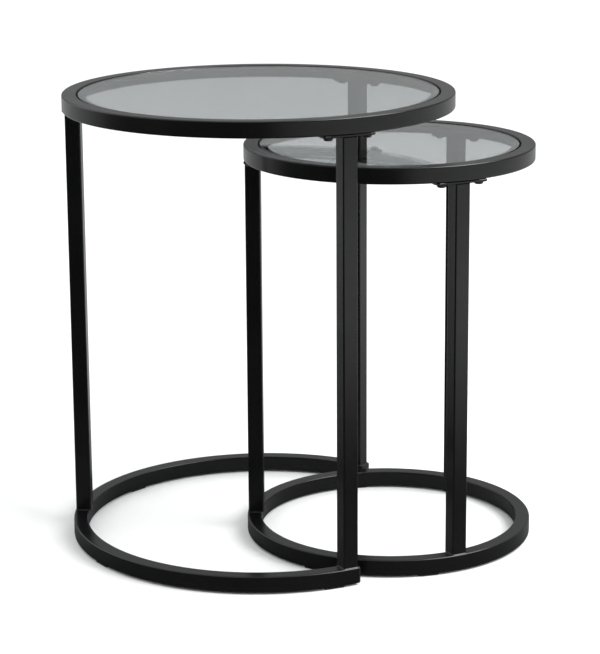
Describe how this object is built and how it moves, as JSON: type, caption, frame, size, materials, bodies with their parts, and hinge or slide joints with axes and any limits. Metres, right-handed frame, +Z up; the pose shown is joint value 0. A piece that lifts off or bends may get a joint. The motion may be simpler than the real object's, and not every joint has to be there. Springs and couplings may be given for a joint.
{
  "type": "nesting tables",
  "caption": "Round black steel nesting tables with recessed smoked-glass tops, tube legs and floor rings, the small one drawn part-way out.",
  "frame": {"origin": "on the floor, below the middle of both tables' shared bounding box", "axes": "+Z up; +X along the slide, towards the drawn-out small table; Y across both tables, their narrowest extent"},
  "size_m": [0.602, 0.5, 0.585],
  "materials": {
    "black_steel": "satin powder coat",
    "smoked_glass": "polished, light smoke tint",
    "black_bolt": "black oxide, satin",
    "zinc_steel": "zinc plated",
    "black_rubber": "matt",
    "clear_bumper": "clear",
    "black_plastic": "matt"
  },
  "bodies": {
    "large_table": {"large_base_ring": "black_steel", "large_bolt_1a": "black_bolt", "large_bolt_1b": "black_bolt", "large_bolt_2a": "black_bolt", "large_bolt_2b": "black_bolt", "large_bolt_3a": "black_bolt", "large_bolt_3b": "black_bolt", "large_bumper_1": "clear_bumper", "large_bumper_2": "clear_bumper", "large_bumper_3": "clear_bumper", "large_end_cap_1": "black_plastic", "large_end_cap_2": "black_plastic", "large_glass": "smoked_glass", "large_glass_ledge": "black_steel", "large_leg_1": "black_steel", "large_leg_2": "black_steel", "large_leg_3": "black_steel", "large_leg_plate_1": "black_steel", "large_leg_plate_2": "black_steel", "large_leg_plate_3": "black_steel", "large_pad_1": "black_rubber", "large_pad_2": "black_rubber", "large_pad_3": "black_rubber", "large_pad_4": "black_rubber", "large_rivet_nut_1a": "zinc_steel", "large_rivet_nut_1b": "zinc_steel", "large_rivet_nut_2a": "zinc_steel", "large_rivet_nut_2b": "zinc_steel", "large_rivet_nut_3a": "zinc_steel", "large_rivet_nut_3b": "zinc_steel", "large_top_ring": "black_steel"},
    "small_table": {"small_base_ring": "black_steel", "small_bolt_1a": "black_bolt", "small_bolt_1b": "black_bolt", "small_bolt_2a": "black_bolt", "small_bolt_2b": "black_bolt", "small_bolt_3a": "black_bolt", "small_bolt_3b": "black_bolt", "small_bumper_1": "clear_bumper", "small_bumper_2": "clear_bumper", "small_bumper_3": "clear_bumper", "small_glass": "smoked_glass", "small_glass_ledge": "black_steel", "small_leg_1": "black_steel", "small_leg_2": "black_steel", "small_leg_3": "black_steel", "small_leg_plate_1": "black_steel", "small_leg_plate_2": "black_steel", "small_leg_plate_3": "black_steel", "small_pad_1": "black_rubber", "small_pad_2": "black_rubber", "small_pad_3": "black_rubber", "small_pad_4": "black_rubber", "small_rivet_nut_1a": "zinc_steel", "small_rivet_nut_1b": "zinc_steel", "small_rivet_nut_2a": "zinc_steel", "small_rivet_nut_2b": "zinc_steel", "small_rivet_nut_3a": "zinc_steel", "small_rivet_nut_3b": "zinc_steel", "small_top_ring": "black_steel"}
  },
  "joints": [
    {"name": "small_table_slide", "type": "slide", "parent": "large_table", "child": "small_table", "axis": [1, 0, 0], "range_m": [-0.166, 0.3]}
  ]
}
